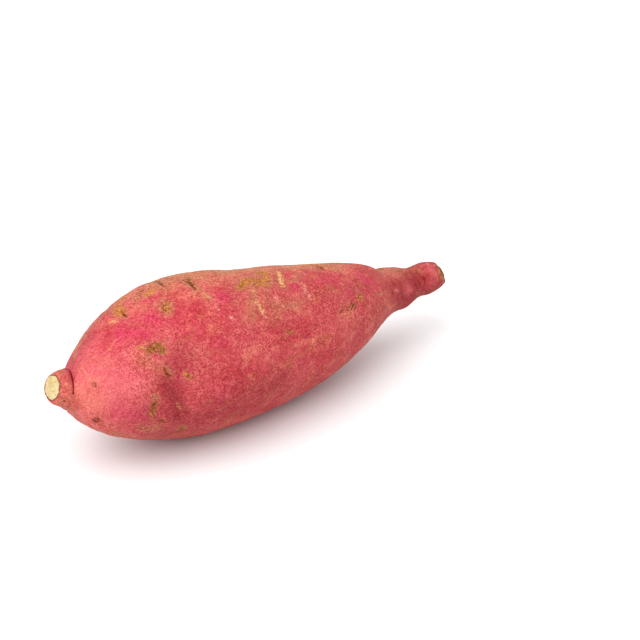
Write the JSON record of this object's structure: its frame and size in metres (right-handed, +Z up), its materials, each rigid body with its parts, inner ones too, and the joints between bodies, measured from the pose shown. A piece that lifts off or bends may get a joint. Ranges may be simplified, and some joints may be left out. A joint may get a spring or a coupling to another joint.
{
  "type": "sweet potato",
  "caption": "Whole raw sweet potato lying on its side: a tapered rose-red root, plump behind a short cut stem neck, slender towards a knobbed tail.",
  "frame": {"origin": "middle of the root's footprint, on the surface that it lies on", "axes": "+Z up, +X along the root from the stem neck to the tail, -Y the front of the root as pictured"},
  "size_m": [0.2124, 0.0682, 0.0653],
  "materials": {
    "skin": "thin matte rose-red root skin with pale flecks, ochre scuffs, brown root eyes and straw-coloured stem cut"
  },
  "bodies": {
    "root": {"sweet_potato": "skin"}
  },
  "joints": []
}
